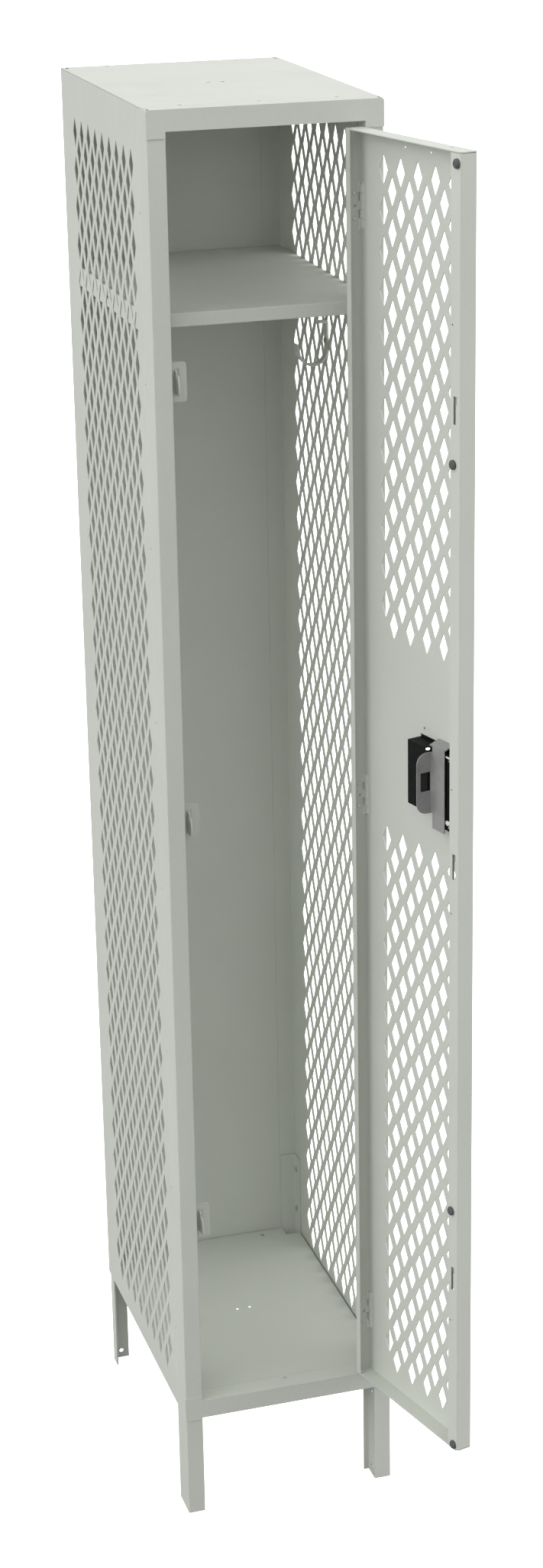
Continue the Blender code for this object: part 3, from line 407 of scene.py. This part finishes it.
def lofted(name, rings, body, slot):
    """A closed smooth shell through rings of points, its ends capped."""
    shape = bmesh.new()
    loops = [[shape.verts.new(p) for p in ring] for ring in rings]
    for near, far in zip(loops, loops[1:]):
        for i in range(len(near)):
            j = (i + 1) % len(near)
            shape.faces.new((near[i], near[j], far[j], far[i]))
    shape.faces.new(loops[0])
    shape.faces.new(loops[-1])
    return add_piece(name, shape, body, slot, smooth=True)


DOOR_ANGLE = math.radians(104.56)  # how far the door stands open in the frame
DOOR_AXIS = Vector((HALF_WIDTH - 0.0286, 0.0007))  # the hinge pins, across and back


def on_door(across, back, up):
    """A place drawn with the door closed, carried round to where the door stands."""
    arm = Matrix.Rotation(DOOR_ANGLE, 2) @ (Vector((across, back)) - DOOR_AXIS)
    return at(DOOR_AXIS.x + arm.x, DOOR_AXIS.y + arm.y, up)


def door_ring(across, back, up, half_depth, half_height, count):
    """count points on an ellipse that faces along the door's width."""
    ring = []
    for i in range(count):
        turn = 2 * math.pi * i / count
        ring.append(on_door(across, back + half_depth * math.cos(turn), up + half_height * math.sin(turn)))
    return ring


SLEEVE_START, SLEEVE_END = -HALF_WIDTH + 0.0572, -HALF_WIDTH + 0.0676
SLEEVE_BACK = 0.0141  # the middle of the latch bar's thickness
SLEEVE_HALF_DEPTH = 0.0013
SLEEVE_PROFILE = (  # share of the length, and share of the full width there
    (0.0, 0.55),
    (0.10, 0.85),
    (0.25, 1.0),
    (0.75, 1.0),
    (0.90, 0.85),
    (1.0, 0.55),
)


def arm_sleeve(name, middle, half_height):
    """Nylon sleeve on one of the latch bar's arms, where it leaves the channel."""
    rings = []
    for share, width in SLEEVE_PROFILE:
        x = SLEEVE_START + (SLEEVE_END - SLEEVE_START) * share
        ring = door_ring(x, SLEEVE_BACK, middle, SLEEVE_HALF_DEPTH * width, half_height * width, count=20)
        rings.append(ring)
    lofted(name, rings, "bar", "white_nylon")


arm_sleeve("low_arm_sleeve", middle=1.0911, half_height=0.0034)
arm_sleeve("high_arm_sleeve", middle=1.1803, half_height=0.0014)

FLANGE_INNER_X = HALF_WIDTH - 0.0272  # inner face of the door's hinge-side flange
RIVET_BACK = 0.0120  # back from the uprights' face, with the door closed
RIVET_OFFSET = 0.0160  # above and below the middle of its hinge
RIVET_PROFILE = (  # from the flange's inner face, and radius
    (0.0010, 0.0020),
    (0.0000, 0.0020),
    (-0.0003, 0.0026),
    (-0.0007, 0.0020),
    (-0.0010, 0.0010),
)


def flange_rivet(name, height):
    """A bright domed rivet in a hole of the door's hinge-side flange."""
    rings = []
    for rise, radius in RIVET_PROFILE:
        rings.append(door_ring(FLANGE_INNER_X + rise, RIVET_BACK, height, radius, radius, count=16))
    lofted(name, rings, "door", "white_nylon")


for where in ("upper", "middle", "lower"):
    leaf_low, leaf_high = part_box(f"{where}_hinge_frame_leaf")
    hinge_middle = (leaf_low.z + leaf_high.z) / 2
    flange_rivet(f"{where}_rivet_top", hinge_middle + RIVET_OFFSET)
    flange_rivet(f"{where}_rivet_low", hinge_middle - RIVET_OFFSET)


# ---------------------------------------------------------------- light, floor, camera


SURROUND = {  # light from each direction, each falling off as the square of the cosine
    (-1, 0, 0): 3.05,
    (1, 0, 0): 3.70,
    (0, -1, 0): 0.47,
    (0, 1, 0): 0.30,
    (0, 0, 1): 1.45,
}


def studio_world():
    """Wide soft light from the left, the right and above, and a little from front and back."""
    world = bpy.data.worlds.new("studio")
    bpy.context.scene.world = world
    world.use_nodes = True
    tree = world.node_tree
    tree.nodes.clear()
    output = tree.nodes.new("ShaderNodeOutputWorld")
    background = tree.nodes.new("ShaderNodeBackground")
    coordinates = tree.nodes.new("ShaderNodeTexCoord")
    total = None
    for direction, amount in SURROUND.items():
        dot = tree.nodes.new("ShaderNodeVectorMath")
        dot.operation = "DOT_PRODUCT"
        dot.inputs[1].default_value = direction
        facing = tree.nodes.new("ShaderNodeMath")
        facing.operation = "MAXIMUM"
        facing.inputs[1].default_value = 0.0
        square = tree.nodes.new("ShaderNodeMath")
        square.operation = "POWER"
        square.inputs[1].default_value = 2.0
        share = tree.nodes.new("ShaderNodeMath")
        share.operation = "MULTIPLY_ADD"
        share.inputs[1].default_value = amount
        share.inputs[2].default_value = 0.0
        tree.links.new(coordinates.outputs["Generated"], dot.inputs[0])
        tree.links.new(dot.outputs["Value"], facing.inputs[0])
        tree.links.new(facing.outputs[0], square.inputs[0])
        tree.links.new(square.outputs[0], share.inputs[0])
        if total:
            tree.links.new(total, share.inputs[2])
        total = share.outputs[0]
    tree.links.new(total, background.inputs["Strength"])
    tree.links.new(background.outputs[0], output.inputs["Surface"])
    bpy.context.scene.view_settings.view_transform = "Standard"


def stage_piece(name, shape, look, seen):
    """Part of the studio: either the camera sees it and it lights nothing, or the other way round."""
    data = bpy.data.meshes.new(name)
    shape.to_mesh(data)
    shape.free()
    data.materials.append(look.material)
    piece = bpy.data.objects.new(name, data)
    bpy.context.scene.collection.objects.link(piece)
    piece.visible_camera = seen
    if seen:
        piece.visible_diffuse = piece.visible_glossy = False
        piece.visible_transmission = piece.visible_shadow = False
    return piece


FLOOR_RADIUS, BACKDROP_RADIUS = 60.0, 58.0


def studio_floor():
    """A grey floor that returns a little light, and the plain white floor and backdrop that are seen."""
    white = Look("studio_white")
    white.colour(white.mix(white.noise(2.0), (0.90, 0.90, 0.90), (0.92, 0.92, 0.92)))
    white.set(Roughness=1.0, Emission_Color=(1, 1, 1, 1), Emission_Strength=1.05)
    grey = Look("studio_floor")
    grey.colour(grey.mix(grey.noise(2.0), (0.23, 0.23, 0.23), (0.25, 0.25, 0.25)))
    grey.set(Roughness=0.9)
    for name, look, seen, drop in (("floor", grey, False, 0.0020), ("floor_white", white, True, 0.0010)):
        disc = bmesh.new()
        bmesh.ops.create_circle(disc, cap_ends=True, segments=96, radius=FLOOR_RADIUS)
        stage_piece(name, disc, look, seen).location = (0, 0, cad_low.z - drop)
    dome = bmesh.new()
    bmesh.ops.create_icosphere(dome, subdivisions=4, radius=BACKDROP_RADIUS)
    stage_piece("backdrop", dome, white, True)


EYE = at(-1.0817155, -3.6730476, 2.4854862)
AHEAD = Vector((0.2811581, 0.8966883, -0.3419068))
ROLL = math.radians(-0.6917)
LENS, SENSOR_WIDTH = 70.567, 36.0  # millimetres
SHIFT = -0.036306


def camera():
    """A camera above the front left corner, looking down at the open door."""
    data = bpy.data.cameras.new("camera")
    data.lens = LENS
    data.sensor_width = SENSOR_WIDTH
    data.shift_x = SHIFT
    data.clip_end = 200.0
    eye = bpy.data.objects.new("camera", data)
    eye.location = EYE
    eye.rotation_mode = "QUATERNION"
    level = AHEAD.to_track_quat("-Z", "Y")
    eye.rotation_quaternion = level @ Matrix.Rotation(ROLL, 3, "Z").to_quaternion()
    bpy.context.scene.collection.objects.link(eye)
    bpy.context.scene.camera = eye


studio_world()
studio_floor()
camera()
